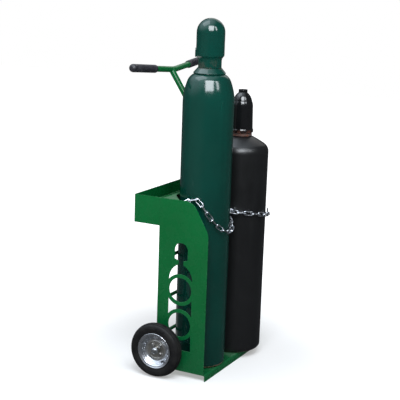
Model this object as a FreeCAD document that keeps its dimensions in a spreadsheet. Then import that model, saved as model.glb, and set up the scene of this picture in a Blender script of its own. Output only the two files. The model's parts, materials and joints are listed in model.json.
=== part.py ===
"""Two-wheel cart that carries an oxygen and an acetylene cylinder side by side.

Row frame: X across the cart (the left wheel is at -X), -Y is the open front with the
toe lip, +Y is the rear with the tool tray and the handle, Z is up and 0 is the ground.
Sizes are millimetres. Every driving size is a cell of the spreadsheet "Sizes".
"""
import FreeCAD
import Part
import math
import os
import re

import Sketcher
from FreeCAD import Placement, Rotation, Vector

SIZES = {
    # sheet-steel frame
    "cart_width": 480.0,
    "plate": 3.0,
    "deck_top": 25.0,
    "rear_y": 64.0,
    "front_y": -135.0,
    "lip_y": -142.0,
    "lip_bend": 7.0,
    "panel_top": 663.0,
    "panel_top_corner_y": -70.0,
    "panel_front_corner_z": 552.0,
    "panel_top_round": 52.0,
    "panel_front_round": 66.0,
    # bottle-shaped lightening cut-out of the side panels
    "slot_y": -29.0,
    "slot_half": 48.0,
    "slot_bottom": 102.0,
    "slot_top": 372.0,
    "ring_outer": 59.0,
    "ring_inner": 45.5,
    "upper_ring_z": 331.0,
    "lower_ring_z": 199.0,
    "bottle_neck_half": 10.5,
    "bottle_neck_z": 425.0,
    "bottle_head_z": 440.0,
    "bottle_head_half": 27.0,
    "bottle_head_side": 480.0,
    # rungs, tray and cradle
    "rung_radius": 6.35,
    "lower_rung_z": 140.0,
    "middle_rung_z": 275.0,
    "upper_rung_z": 430.0,
    "tray_depth": 106.0,
    "tray_floor": 559.0,
    "tray_wall": 2.0,
    "tray_inset": 1.0,
    "cradle_z": 655.0,
    "cradle_thick": 4.0,
    "cradle_gap": 11.5,
    "tongue_half": 8.0,
    "tongue_tip_y": -62.0,
    # mast and handlebar, 7/8 inch tube
    "tube_radius": 11.1,
    "tube_bore": 9.1,
    "mast_bend_z": 916.0,
    "mast_bend_radius": 100.0,
    "handle_y": 162.7,
    "handle_z": 1099.0,
    "handle_offset": 18.0,
    "handle_reach": 274.0,
    "handle_rise": 6.0,
    "handle_twist": 47.4,
    "handle_bend_radius": 150.0,
    "grip_start": 128.7,
    "grip_length": 152.6,
    "grip_radius": 14.9,
    "cope_radius": 11.3,
    # chain and its anchors
    "hook_rod": 3.0,
    "staple_rod": 2.6,
    "staple_y": -24.0,
    "staple_z": 649.0,
    "chain_wire": 2.1,
    "link_inside": 32.2,
    "link_half_width": 6.6,
    "link_corner": 4.8,
    # wheels and stub axles
    "wheel_x": 280.0,
    "axle_y": 41.0,
    "tyre_radius": 101.6,
    "bolt_radius": 6.35,
    "bush_bore": 6.4,
    "hub_bore": 8.0,
    "hub_radius": 12.0,
    "hub_out": 11.0,
    "hub_in": 27.0,
    "bush_length": 13.0,
    "axle_gap": 0.4,
    "washer_thick": 2.0,
    "washer_radius": 15.0,
    "nut_thick": 11.0,
    "nut_corner": 10.9,
    "doubler_thick": 5.0,
    "rim_sheet": 1.6,
    "rim_bolt_circle": 22.0,
    # oxygen cylinder
    "foot_gap": 0.3,
    "oxygen_x": -109.5,
    "oxygen_y": -51.6,
    "oxygen_radius": 93.5,
    "oxygen_wall": 6.0,
    # acetylene cylinder
    "acetylene_x": 116.6,
    "acetylene_y": -81.5,
    "acetylene_radius": 106.0,
    "acetylene_wall": 4.0,
    # valves under the caps
    "neck_bore": 13.0,
    "spindle_radius": 4.0,
    "spindle_bore": 4.05,
}

doc = FreeCAD.newDocument("gas_cylinder_cart")
sheet = doc.addObject("Spreadsheet::Sheet", "Sizes")
for row, (name, value) in enumerate(SIZES.items(), start=1):
    sheet.set(f"A{row}", name)
    sheet.set(f"B{row}", str(value))
    sheet.setAlias(f"B{row}", name)
doc.recompute()

pieces = []


# ---------------------------------------------------------------- helpers

def bound(expression):
    """Turns "plate / 2" into an expression that reads the sheet's cells."""
    text = str(expression)
    return re.sub(r"[a-z_]+", lambda m: f"Sizes.{m[0]}" if m[0] in SIZES else m[0], text)


def size(expression):
    """The present value of an expression in the sheet's cells."""
    return float(sheet.evalExpression(bound(expression)))


def keep(piece):
    """Marks an object as a sub-part that gets a file of its own."""
    pieces.append(piece)
    return piece


def place(piece, x=0, y=0, z=0, rotation=None):
    """Places a piece, with its position bound to the sheet."""
    piece.Placement = Placement(Vector(size(x), size(y), size(z)), rotation or Rotation())
    for axis, expression in (("x", x), ("y", y), ("z", z)):
        piece.setExpression(f".Placement.Base.{axis}", bound(expression))
    return piece


def new_body(label):
    body = doc.addObject("PartDesign::Body", label)
    body.Label = label
    return body


def new_sketch(body, plane):
    sketch = body.newObject("Sketcher::SketchObject", body.Name + "_sketch")
    base = next(f for f in body.Origin.OriginFeatures if f.Role == plane)
    sketch.AttachmentSupport = [(base, "")]
    sketch.MapMode = "FlatFace"
    return sketch


def bind_point(sketch, geometry, end, point):
    """Fixes one end of a sketch line by two bound distances from the origin."""
    for kind, on_axis, expression in (("DistanceX", -2, point[0]), ("DistanceY", -1, point[1])):
        value = size(expression)
        if abs(value) < 1e-7:
            sketch.addConstraint(Sketcher.Constraint("PointOnObject", geometry, end, on_axis))
            continue
        index = sketch.addConstraint(Sketcher.Constraint(kind, -1, 1, geometry, end, value))
        sketch.setExpression(f"Constraints[{index}]", bound(expression))


def add_loop(sketch, steps):
    """Adds a closed loop. A step (u, v) is a line to that point, and a step
    (u, v, mid_u, mid_v) is an arc to it through the middle point given."""
    corners = [Vector(size(step[0]), size(step[1]), 0) for step in steps]
    ends = []
    for number, step in enumerate(steps):
        start = corners[number - 1]
        finish = corners[number]
        if len(step) == 2:
            edge = Part.LineSegment(start, finish)
        else:
            edge = Part.Arc(start, Vector(size(step[2]), size(step[3]), 0), finish)
        index = sketch.addGeometry(edge, False)
        first_is_start = sketch.getPoint(index, 1).distanceToPoint(start) < 1e-6
        ends.append((index, 1, 2) if first_is_start else (index, 2, 1))
    for number, (index, begin, end) in enumerate(ends):
        following, next_begin, _ = ends[(number + 1) % len(ends)]
        sketch.addConstraint(Sketcher.Constraint("Coincident", index, end, following, next_begin))
    for (index, _, end), step in zip(ends, steps):
        bind_point(sketch, index, end, step)


def add_circle(sketch, u, v, radius):
    centre = Vector(size(u), size(v), 0)
    index = sketch.addGeometry(Part.Circle(centre, Vector(0, 0, 1), size(radius)), False)
    bind_point(sketch, index, 3, (u, v))
    constraint = sketch.addConstraint(Sketcher.Constraint("Radius", index, size(radius)))
    sketch.setExpression(f"Constraints[{constraint}]", bound(radius))


def pad(body, sketch, length, both_ways=False):
    feature = body.newObject("PartDesign::Pad", body.Name + "_pad")
    feature.Profile = sketch
    feature.setExpression("Length", bound(length))
    if both_ways:
        feature.SideType = "Symmetric"
    doc.recompute()
    return feature


def cut_through(body, sketch):
    """Cuts a sketch through the whole body, both ways, and checks that it cut."""
    doc.recompute()
    before = body.Shape.Volume
    feature = body.newObject("PartDesign::Pocket", body.Name + "_pocket")
    feature.Profile = sketch
    feature.SideType = "Symmetric"
    feature.Type = "ThroughAll"
    doc.recompute()
    assert body.Shape.Volume < before - 1, body.Label
    return feature


def turn(body, loops, axis="V_Axis", plane="XZ_Plane"):
    """Revolves closed loops about a sketch axis. The first loop makes the solid."""
    sketch = new_sketch(body, plane)
    for steps in loops:
        add_loop(sketch, steps)
    feature = body.newObject("PartDesign::Revolution", body.Name + "_turned")
    feature.Profile = sketch
    feature.ReferenceAxis = (sketch, [axis])
    feature.Angle = 360
    doc.recompute()
    return feature


def bore_out(body, steps):
    """Cuts a turned hollow out of a body whose axis is Z."""
    before = body.Shape.Volume
    sketch = new_sketch(body, "XZ_Plane")
    add_loop(sketch, steps)
    feature = body.newObject("PartDesign::Groove", body.Name + "_hollow")
    feature.Profile = sketch
    feature.ReferenceAxis = (sketch, ["V_Axis"])
    feature.Angle = 360
    doc.recompute()
    assert body.Shape.Volume < before - 1, body.Label


def round_edges(body, radius, points):
    """Fillets the straight edges whose middles lie nearest the given points."""
    doc.recompute()
    edges = body.Shape.Edges
    names = []
    for point in points:
        target = Vector(*(size(c) for c in point))
        nearest = min(range(len(edges)), key=lambda i: edges[i].CenterOfMass.distanceToPoint(target))
        names.append(f"Edge{nearest + 1}")
    rounded = body.Tip
    feature = body.newObject("PartDesign::Fillet", body.Name + "_round")
    feature.Base = (rounded, names)
    feature.setExpression("Radius", bound(radius))
    doc.recompute()


def bent_path(sketch, points, bend):
    """Draws straight runs through the points, joined by tangent arcs."""
    corners = [Vector(size(u), size(v), 0) for u, v in points]
    here = corners[0]
    for before, corner, after in zip(corners, corners[1:], corners[2:]):
        back = (before - corner).normalize()
        ahead = (after - corner).normalize()
        half = back.getAngle(ahead) / 2
        reach = size(bend) / math.tan(half)
        middle = (back + ahead).normalize()
        crown = corner + middle * (size(bend) / math.sin(half) - size(bend))
        sketch.addGeometry(Part.LineSegment(here, corner + back * reach), False)
        sketch.addGeometry(Part.Arc(corner + back * reach, crown, corner + ahead * reach), False)
        here = corner + ahead * reach
    sketch.addGeometry(Part.LineSegment(here, corners[-1]), False)


def bent_rod(label, plane, points, bend, radius, bore=None):
    """A round rod, or a tube when it has a bore, along a bent path in one plane."""
    body = new_body(label)
    path = new_sketch(body, plane)
    bent_path(path, points, bend)
    doc.recompute()
    section = body.newObject("Sketcher::SketchObject", label + "_section")
    section.AttachmentSupport = [(path, "Edge1")]
    section.MapMode = "NormalToEdge"
    add_circle(section, 0, 0, radius)
    if bore:
        add_circle(section, 0, 0, bore)
    doc.recompute()
    pipe = body.newObject("PartDesign::AdditivePipe", label + "_pipe")
    pipe.Profile = section
    pipe.Spine = (path, [f"Edge{i + 1}" for i in range(path.GeometryCount)])
    doc.recompute()
    return body


def ring(label, outer, inner, length):
    """A flat ring or spacer along X, from its own origin."""
    body = new_body(label)
    sketch = new_sketch(body, "YZ_Plane")
    add_circle(sketch, 0, 0, outer)
    add_circle(sketch, 0, 0, inner)
    pad(body, sketch, length)
    return body


def primitive(kind, label, **expressions):
    """A Part primitive whose sizes are bound to the sheet."""
    piece = doc.addObject(kind, label)
    piece.Label = label
    for name, expression in expressions.items():
        piece.setExpression(name, bound(expression))
    doc.recompute()
    return piece


def joined(kind, label, first, second):
    piece = doc.addObject(kind, label)
    piece.Label = label
    piece.Base = first
    piece.Tool = second
    doc.recompute()
    return piece


def group(label, members):
    """Identical pieces that share one file as separate solids."""
    piece = doc.addObject("Part::Compound", label)
    piece.Label = label
    piece.Links = members
    doc.recompute()
    return piece


def shaped(label, shape):
    """A piece whose shape only Part's own functions can make."""
    piece = doc.addObject("Part::Feature", label)
    piece.Label = label
    piece.Shape = shape
    return piece


# ---------------------------------------------------------------- sheet-steel frame

ALONG_X = Rotation(Vector(0, 1, 0), 90)


def side_panel(label, x):
    """Laser-cut side plate with a bottle-shaped opening crossed by two rings."""
    body = new_body(label)
    outline = new_sketch(body, "YZ_Plane")
    add_loop(outline, [
        ("rear_y", "deck_top"),
        ("rear_y", "panel_top"),
        ("panel_top_corner_y", "panel_top"),
        ("front_y", "panel_front_corner_z"),
        ("front_y", "deck_top"),
    ])
    pad(body, outline, "plate")
    round_edges(body, "panel_top_round", [("plate / 2", "panel_top_corner_y", "panel_top")])
    round_edges(body, "panel_front_round", [("plate / 2", "front_y", "panel_front_corner_z")])

    left = "slot_y - slot_half"
    right = "slot_y + slot_half"
    ring_side = "sqrt(ring_outer ^ 2 - slot_half ^ 2)"
    openings = new_sketch(body, "YZ_Plane")
    add_loop(openings, [
        (right, "slot_top"),
        ("slot_y + bottle_neck_half", "bottle_neck_z", "slot_y + 37.5", "bottle_neck_z - 22"),
        ("slot_y + bottle_neck_half", "bottle_head_z"),
        ("slot_y + bottle_head_half", "bottle_head_z + 6"),
        ("slot_y + bottle_head_half", "bottle_head_side"),
        ("slot_y - bottle_head_half", "bottle_head_side", "slot_y", "bottle_head_side + bottle_head_half"),
        ("slot_y - bottle_head_half", "bottle_head_z + 6"),
        ("slot_y - bottle_neck_half", "bottle_head_z"),
        ("slot_y - bottle_neck_half", "bottle_neck_z"),
        (left, "slot_top", "slot_y - 37.5", "bottle_neck_z - 22"),
        (left, f"upper_ring_z + {ring_side}"),
        (right, f"upper_ring_z + {ring_side}", "slot_y", "upper_ring_z + ring_outer"),
    ])
    add_circle(openings, "slot_y", "upper_ring_z", "ring_inner")
    add_loop(openings, [
        (right, f"upper_ring_z - {ring_side}"),
        (left, f"upper_ring_z - {ring_side}", "slot_y", "upper_ring_z - ring_outer"),
        (left, f"lower_ring_z + {ring_side}"),
        (right, f"lower_ring_z + {ring_side}", "slot_y", "lower_ring_z + ring_outer"),
    ])
    add_circle(openings, "slot_y", "lower_ring_z", "ring_inner")
    add_loop(openings, [
        (left, "slot_bottom"),
        (right, "slot_bottom"),
        (right, f"lower_ring_z - {ring_side}"),
        (left, f"lower_ring_z - {ring_side}", "slot_y", "lower_ring_z - ring_outer"),
    ])
    add_circle(openings, "axle_y", "tyre_radius", "bolt_radius + 0.1")
    cut_through(body, openings)
    return place(keep(body), x=x)


def base_plate():
    """Floor plate, bent down at the front into the toe lip that stands on the ground."""
    body = new_body("base_plate")
    section = new_sketch(body, "YZ_Plane")
    add_loop(section, [
        ("rear_y", "deck_top - plate"),
        ("rear_y", "deck_top"),
        ("lip_y", "deck_top"),
        ("lip_y", "0"),
        ("lip_y + plate", "0"),
        ("lip_y + plate", "deck_top - plate"),
    ])
    pad(body, section, "cart_width", both_ways=True)
    round_edges(body, "lip_bend", [("0", "lip_y", "deck_top")])
    round_edges(body, "lip_bend - plate", [("0", "lip_y + plate", "deck_top - plate")])
    return keep(body)


def rung(label, height):
    bar = primitive("Part::Cylinder", label, Radius="rung_radius", Height="cart_width - 2 * plate")
    return place(keep(bar), x="plate - cart_width / 2", y="rear_y - rung_radius", z=height,
                 rotation=ALONG_X)


def tool_tray():
    """Open-topped box across the rear for the torch, tips and rods."""
    body = new_body("tool_tray")
    outside = new_sketch(body, "XY_Plane")
    add_loop(outside, [
        ("tray_inset - cart_width / 2", "rear_y"),
        ("cart_width / 2 - tray_inset", "rear_y"),
        ("cart_width / 2 - tray_inset", "rear_y + tray_depth"),
        ("tray_inset - cart_width / 2", "rear_y + tray_depth"),
    ])
    pad(body, outside, "panel_top - tray_floor")
    inside = new_sketch(body, "XY_Plane")
    inside.setExpression(".AttachmentOffset.Base.z", bound("tray_wall"))
    add_loop(inside, [
        ("tray_inset + tray_wall - cart_width / 2", "rear_y + tray_wall"),
        ("cart_width / 2 - tray_wall - tray_inset", "rear_y + tray_wall"),
        ("cart_width / 2 - tray_wall - tray_inset", "rear_y + tray_depth - tray_wall"),
        ("tray_inset + tray_wall - cart_width / 2", "rear_y + tray_depth - tray_wall"),
    ])
    doc.recompute()
    before = body.Shape.Volume
    hollow = body.newObject("PartDesign::Pocket", "tool_tray_hollow")
    hollow.Profile = inside
    hollow.Type = "ThroughAll"
    hollow.Reversed = True
    doc.recompute()
    assert body.Shape.Volume < before / 2, "tray"
    return place(keep(body), z="tray_floor")


def cradle_plate():
    """Flat plate behind both cylinders. Each bay is an arc about its cylinder, run out
    to the side panel along the arc's tangent, and a tongue lies between the bays."""
    lean = 52.0
    cos_lean = f"cos({lean} deg)"
    sin_lean = f"sin({lean} deg)"
    bay_left = "(oxygen_radius + cradle_gap)"
    bay_right = "(acetylene_radius + cradle_gap)"
    edge = "(cart_width / 2 - plate)"

    def tangent_point(side, centre_x, centre_y, bay):
        return (f"{centre_x} + {side} * {bay} * {cos_lean}", f"{centre_y} + {bay} * {sin_lean}")

    def panel_point(side, centre_x, centre_y, bay):
        run = f"({edge} - {side} * {centre_x} - {bay} * {cos_lean}) / {sin_lean}"
        return (f"{side} * {edge}", f"{centre_y} + {bay} * {sin_lean} - {run} * {cos_lean}")

    def tongue_point(side, centre_x, centre_y, bay):
        across = f"({side} * tongue_half - {centre_x})"
        return (f"{side} * tongue_half", f"{centre_y} + sqrt({bay} ^ 2 - {across} ^ 2)")

    left = ("oxygen_x", "oxygen_y", bay_left)
    right = ("acetylene_x", "acetylene_y", bay_right)
    body = new_body("cradle_plate")
    sketch = new_sketch(body, "XY_Plane")
    add_loop(sketch, [
        (f"-{edge}", "rear_y"),
        panel_point(-1, *left),
        tangent_point(-1, *left),
        tongue_point(-1, *left) + ("oxygen_x", f"oxygen_y + {bay_left}"),
        ("-tongue_half", "tongue_tip_y"),
        ("tongue_half", "tongue_tip_y", "0", "tongue_tip_y - tongue_half"),
        tongue_point(1, *right),
        tangent_point(1, *right) + ("acetylene_x", f"acetylene_y + {bay_right}"),
        panel_point(1, *right),
        (edge, "rear_y"),
    ])
    add_circle(sketch, "0", "rear_y - 2 * rung_radius - tube_radius", "tube_radius + 0.1")
    pad(body, sketch, "cradle_thick")
    return place(keep(body), z="cradle_z")


# ---------------------------------------------------------------- mast and handlebar

MAST_Y = "rear_y - 2 * rung_radius - tube_radius"


def mast():
    """Tube welded to the rungs, bent back at the top and coped to the handlebar."""
    tube = bent_rod("mast_tube", "YZ_Plane", [
        (MAST_Y, "deck_top"),
        (MAST_Y, "mast_bend_z"),
        ("handle_y", "handle_z"),
    ], "mast_bend_radius", "tube_radius", "tube_bore")
    cope = handle_shape("mast_cope", "cope_radius")
    return keep(joined("Part::Cut", "mast", tube, cope))


def handle_rotation():
    """The bar's shallow V lies in a plane tipped back about X."""
    return Rotation(Vector(1, 0, 0), size("handle_twist"))


def handle_shape(label, radius, bore=None):
    """The handlebar's line. Its bend stands a little to the right of the mast."""
    tip_v = "handle_reach * tan(handle_rise * 1 deg)"
    bar = bent_rod(label, "XY_Plane", [
        ("-handle_reach", tip_v),
        ("0", "0"),
        ("handle_reach", tip_v),
    ], "handle_bend_radius", radius, bore)
    return place(bar, x="handle_offset", y="handle_y", z="handle_z", rotation=handle_rotation())


def grip(label, side):
    """Moulded sleeve with a closed, rounded end."""
    body = new_body(label)
    turn(body, [[
        ("0", "tube_radius + 0.05"),
        ("0", "grip_radius - 1.6"),
        ("5", "grip_radius"),
        ("grip_length - 12", "grip_radius"),
        ("grip_length", "grip_radius - 12", "grip_length - 3.4", "grip_radius - 3.4"),
        ("grip_length", "0"),
        ("grip_length - 5", "0"),
        ("grip_length - 5", "tube_radius + 0.05"),
    ]], axis="H_Axis", plane="XY_Plane")
    rise = size("handle_rise")
    start = size("grip_start")
    arm = Rotation(Vector(0, 0, 1), rise if side > 0 else 180 - rise)
    offset = Vector(side * start, start * math.tan(math.radians(rise)), 0)
    seat = Placement(Vector(size("handle_offset"), size("handle_y"), size("handle_z")),
                     handle_rotation())
    body.Placement = seat * Placement(offset, arm)
    return keep(body)


# ---------------------------------------------------------------- chain

def chain_link():
    """One welded link, long axis X, lying in its own XY plane: a rounded rectangle."""
    wire = size("chain_wire")
    corner = size("link_corner")
    run = size("link_inside / 2") + wire - corner
    rise = size("link_half_width") - corner
    solid = None
    for end, edge, start in ((1, 1, 0), (-1, 1, 90), (-1, -1, 180), (1, -1, 270)):
        elbow = Part.makeTorus(corner, wire, Vector(0, 0, 0), Vector(0, 0, 1), 0, 360, 90)
        elbow.Placement = Placement(Vector(end * run, edge * rise, 0), Rotation(Vector(0, 0, 1), start))
        solid = elbow if solid is None else solid.fuse(elbow)
    for edge in (1, -1):
        side_bar = Part.makeCylinder(wire, 2 * run, Vector(-run, edge * (rise + corner), 0),
                                     Vector(1, 0, 0))
        end_bar = Part.makeCylinder(wire, 2 * rise, Vector(edge * (run + corner), -rise, 0),
                                    Vector(0, 1, 0))
        solid = solid.fuse(side_bar).fuse(end_bar)
    return solid.removeSplitter()


def chain_run(label, stations, link_count, first_lies_flat):
    """Links along a smooth line through stations (point, outward normal). They lie flat
    on the cylinder and on edge by turns."""
    line = Part.BSplineCurve()
    line.interpolate([point for point, _ in stations])
    joints = line.discretize(Number=link_count + 1)
    marks = [line.parameter(point) for point, _ in stations]
    links = []
    for number, (start, finish) in enumerate(zip(joints, joints[1:])):
        middle = (start + finish) / 2
        along = (finish - start).normalize()
        at = line.parameter(middle)
        after = next((i for i, mark in enumerate(marks) if mark >= at), len(marks) - 1)
        before = max(after - 1, 0)
        share = (at - marks[before]) / ((marks[after] - marks[before]) or 1.0)
        outward = stations[before][1] * (1 - share) + stations[after][1] * share
        outward = (outward - along * outward.dot(along)).normalize()
        flat = (number % 2 == 0) == first_lies_flat
        across = outward.cross(along) if flat else outward
        link = chain_link()
        link.Placement = Placement(middle, Rotation(along, across, along.cross(across), "XYZ"))
        links.append(link)
    pitch = line.length() / link_count
    print(f"{label}: {link_count} links, pitch {pitch:.2f} mm")
    assert pitch < size("link_inside"), label
    return keep(shaped(label, Part.makeCompound(links)))


def on_cylinder(centre_x, centre_y, radius, stand_off, bearings):
    """Stations round a cylinder, from (bearing in degrees, height) pairs."""
    stations = []
    for bearing, height in bearings:
        outward = Vector(math.cos(math.radians(bearing)), math.sin(math.radians(bearing)), 0)
        reach = size(radius) + stand_off
        stations.append((Vector(size(centre_x), size(centre_y), height) + outward * reach, outward))
    return stations


CHAIN_STAND_OFF = 10.5
STAPLE_TILT = -35.6
HOOK_TURN = -9.0
HOOK_ROOT = Vector(1.5, -20, 0)
SEAT_Z = 594.5


def on_hook(reach):
    """A point on the hook's straight seat, at a distance from the hook's root."""
    turned = math.radians(HOOK_TURN)
    return HOOK_ROOT + Vector(math.sin(turned), -math.cos(turned), 0) * reach + Vector(0, 0, SEAT_Z)


def chain_parts():
    """Staple on the left panel, hook under the cradle's tongue, hook on the right panel,
    and the chain in two runs between them."""
    staple = bent_rod("left_chain_staple", "XY_Plane", [
        ("plate - cart_width / 2", "0"),
        ("plate - cart_width / 2 + 15", "0"),
        ("plate - cart_width / 2 + 15", "20"),
        ("plate - cart_width / 2", "20"),
    ], "5", "staple_rod")
    place(keep(staple), y="staple_y", z="staple_z", rotation=Rotation(Vector(1, 0, 0), STAPLE_TILT))
    hook = bent_rod("centre_chain_hook", "YZ_Plane", [
        ("0", "cradle_z - hook_rod"),
        ("-44", "cradle_z - hook_rod"),
        ("-64", SEAT_Z),
        ("-108", SEAT_Z),
        ("-111", "610"),
    ], "8", "hook_rod")
    place(keep(hook), x=HOOK_ROOT.x, y=HOOK_ROOT.y, rotation=Rotation(Vector(0, 0, 1), HOOK_TURN))
    right_hook = bent_rod("right_chain_hook", "YZ_Plane", [
        ("front_y", "532"),
        ("-152", "532"),
        ("-152", "566"),
    ], "7", "staple_rod")
    place(keep(right_hook), x="cart_width / 2 - plate / 2")

    staple_seat = Vector(-229.5, size("staple_y"), size("staple_z"))
    away = Vector(0.44, -0.73, 0.52).normalize()
    left_start = (staple_seat - away * 4.3, Vector(-1, 0, 0))
    over_oxygen = on_cylinder("oxygen_x", "oxygen_y", "oxygen_radius", CHAIN_STAND_OFF, [
        (175, 661), (185, 668.5), (195, 660), (206, 632), (216, 607), (227, 583), (239, 563),
        (253, 548), (267, 541), (281, 541), (291, 546)])
    up_left = Vector(0.25, 0.4, 0.88).normalize()
    forward = Vector(0, -1, 0)
    left_end = [(on_hook(78) - up_left * 27.3, forward), (on_hook(78) + up_left * 4.5, forward)]
    down_right = Vector(0.6, -0.75, -0.25).normalize()
    slanted = Vector(-0.75, -0.66, 0)
    right_start = [(on_hook(96) - down_right * 6.3, slanted), (on_hook(96) + down_right * 25.5, slanted)]
    over_acetylene = on_cylinder("acetylene_x", "acetylene_y", "acetylene_radius", CHAIN_STAND_OFF, [
        (222, 584), (237, 579), (252, 575), (267, 571), (280, 567), (292, 561)])
    right_end = (Vector(241.7, -152, 546), forward)
    chain_run("left_chain_run", [left_start] + over_oxygen + left_end, 13, True)
    chain_run("right_chain_run", right_start + over_acetylene + [right_end], 10, True)


# ---------------------------------------------------------------- wheels and stub axles

def pressed_half(label, side, sheet_thick, holes):
    """Half of a pressed rim, turned about X: a flat disc that runs out into a smooth
    flange. The section has an even thickness."""
    flange = [Vector(side * x, r, 0) for x, r in RIM_FLANGE]
    middle = Part.BSplineCurve()
    middle.interpolate(Points=flange, InitialTangent=Vector(0, 6, 0), FinalTangent=Vector(side * 0.4, 5, 0))
    count = 24
    span = middle.LastParameter - middle.FirstParameter
    inner_r = size("bolt_radius + 6.55")
    faces = []
    for offset in (-0.5, 0.5):
        shifted = []
        for step in range(count + 1):
            at = middle.FirstParameter + span * step / count
            along = middle.tangent(at)[0]
            shifted.append(middle.value(at) + Vector(-along.y, along.x, 0) * offset * sheet_thick)
        curve = Part.BSplineCurve()
        curve.interpolate(Points=shifted, InitialTangent=Vector(0, 6, 0),
                          FinalTangent=Vector(side * 0.4, 5, 0))
        faces.append(curve)
    low, high = faces
    roots = [Vector(curve.StartPoint.x, inner_r, 0) for curve in faces]
    edges = [
        Part.LineSegment(roots[0], low.StartPoint).toShape(),
        low.toShape(),
        Part.LineSegment(low.EndPoint, high.EndPoint).toShape(),
        high.toShape(),
        Part.LineSegment(high.StartPoint, roots[1]).toShape(),
        Part.LineSegment(roots[1], roots[0]).toShape(),
    ]
    outline = Part.Wire(Part.__sortEdges__(edges))
    solid = Part.Face(outline).revolve(Vector(0, 0, 0), Vector(1, 0, 0), 360)
    for y, z, radius in holes:
        solid = solid.cut(Part.makeCylinder(radius, 60, Vector(-30, y, z), Vector(1, 0, 0)))
    return shaped(label, solid)


def circle_places(radius, count):
    """Evenly spaced (y, z) places on a circle about the X axis."""
    turns = [2 * math.pi * (i + 0.5) / count for i in range(count)]
    return [(radius * math.cos(t), radius * math.sin(t)) for t in turns]


def hexagon(label, corner_radius, height, crown=None):
    """Hexagonal head along X, crowned by a sphere when a crown height is given."""
    prism = primitive("Part::Prism", label + "_hex", Circumradius=corner_radius, Height=height)
    prism.Polygon = 6
    place(prism, rotation=ALONG_X)
    if crown is None:
        return prism
    ball = primitive("Part::Sphere", label + "_ball", Radius=crown)
    place(ball, x=f"{height} - {crown}")
    return joined("Part::Common", label + "_head", prism, ball)


RIM_FLANGE = [(0.9, 37), (1.6, 42.6), (4.2, 46.6), (8.4, 49.4), (12.6, 52.2), (15.6, 55.6),
              (17.3, 59.6), (18.1, 64)]
STEM_PLACE = (34.6, -34.6)
STEM_RADIUS = 3.0
RIM_BOLT_RADIUS = 2.9


def wheel(side, name):
    """All pieces that turn: tyre, tube, two rim halves, hub, bushes, rim bolts, stem."""
    facing = Rotation(Vector(0, 0, 1), 0 if side > 0 else 180)

    def mounted(piece):
        return place(keep(piece), x=f"{side} * wheel_x", y="axle_y", z="tyre_radius", rotation=facing)

    tyre = new_body(f"{name}_tyre")
    turn(tyre, [[
        ("21.4", "77", "17.6", "67"),
        ("19", "95.5", "22.9", "86.5"),
        ("-19", "95.5", "0", "tyre_radius"),
        ("-21.4", "77", "-22.9", "86.5"),
        ("-14.5", "60", "-17.6", "67"),
        ("-9.5", "60"),
        ("-16", "77", "-12.4", "67.5"),
        ("-14.5", "90.5", "-17.2", "84"),
        ("14.5", "90.5", "0", "tyre_radius - 6"),
        ("16", "77", "17.2", "84"),
        ("9.5", "60", "12.4", "67.5"),
        ("14.5", "60"),
    ]], axis="H_Axis", plane="XY_Plane")
    mounted(tyre)

    tube = primitive("Part::Torus", f"{name}_inner_tube", Radius1="78", Radius2="11.5")
    place(keep(tube), x=f"{side} * wheel_x", y="axle_y", z="tyre_radius", rotation=ALONG_X)

    bolt_places = circle_places(size("rim_bolt_circle"), 4)
    bolt_holes = [(y, z, RIM_BOLT_RADIUS + 0.1) for y, z in bolt_places]
    thick = size("rim_sheet")
    outer = pressed_half(f"{name}_outer_rim", 1, thick, bolt_holes + [STEM_PLACE + (STEM_RADIUS + 0.1,)])
    mounted(outer)
    inner = pressed_half(f"{name}_inner_rim", -1, thick, bolt_holes)
    mounted(inner)

    hub = new_body(f"{name}_hub")
    turn(hub, [[
        ("-hub_in", "hub_bore"),
        ("hub_out", "hub_bore"),
        ("hub_out", "hub_radius"),
        ("-rim_sheet - 0.2", "hub_radius"),
        ("-rim_sheet - 0.2", "30"),
        ("-rim_sheet - 3.2", "30"),
        ("-rim_sheet - 3.2", "hub_radius"),
        ("-hub_in", "hub_radius"),
    ]], axis="H_Axis", plane="XY_Plane")
    holes = new_sketch(hub, "YZ_Plane")
    for y, z in bolt_places:
        add_circle(holes, y, z, RIM_BOLT_RADIUS + 0.1)
    cut_through(hub, holes)
    mounted(hub)

    bushes = []
    for number, start in enumerate(("-hub_in", "hub_out - bush_length")):
        bush = ring(f"{name}_bush_{number}", "hub_bore", "bush_bore", "bush_length")
        bushes.append(place(bush, x=start))
    mounted(group(f"{name}_bushes", bushes))

    fasteners = []
    for number, (y, z) in enumerate(bolt_places):
        base = f"{name}_rim_bolt_{number}"
        shank = primitive("Part::Cylinder", base + "_shank", Radius=RIM_BOLT_RADIUS, Height="14")
        place(shank, x="-10", y=y, z=z, rotation=ALONG_X)
        for end, height, start in (("head", "4", "rim_sheet + 0.2"), ("nut", "4.4", "-rim_sheet - 7.8")):
            hex_end = primitive("Part::Prism", f"{base}_{end}", Circumradius="5.8", Height=height)
            place(hex_end, x=start, y=y, z=z, rotation=ALONG_X)
            shank = joined("Part::Fuse", f"{base}_with_{end}", shank, hex_end)
        fasteners.append(shank)
    mounted(group(f"{name}_rim_bolts", fasteners))

    stem = primitive("Part::Cylinder", f"{name}_valve_stem", Radius=STEM_RADIUS, Height="19")
    stem_y, stem_z = STEM_PLACE
    place(keep(stem), x=f"{side} * (wheel_x + {'3' if side > 0 else '22'})",
          y=f"axle_y + {side * stem_y}", z=f"tyre_radius + {stem_z}", rotation=ALONG_X)


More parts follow.
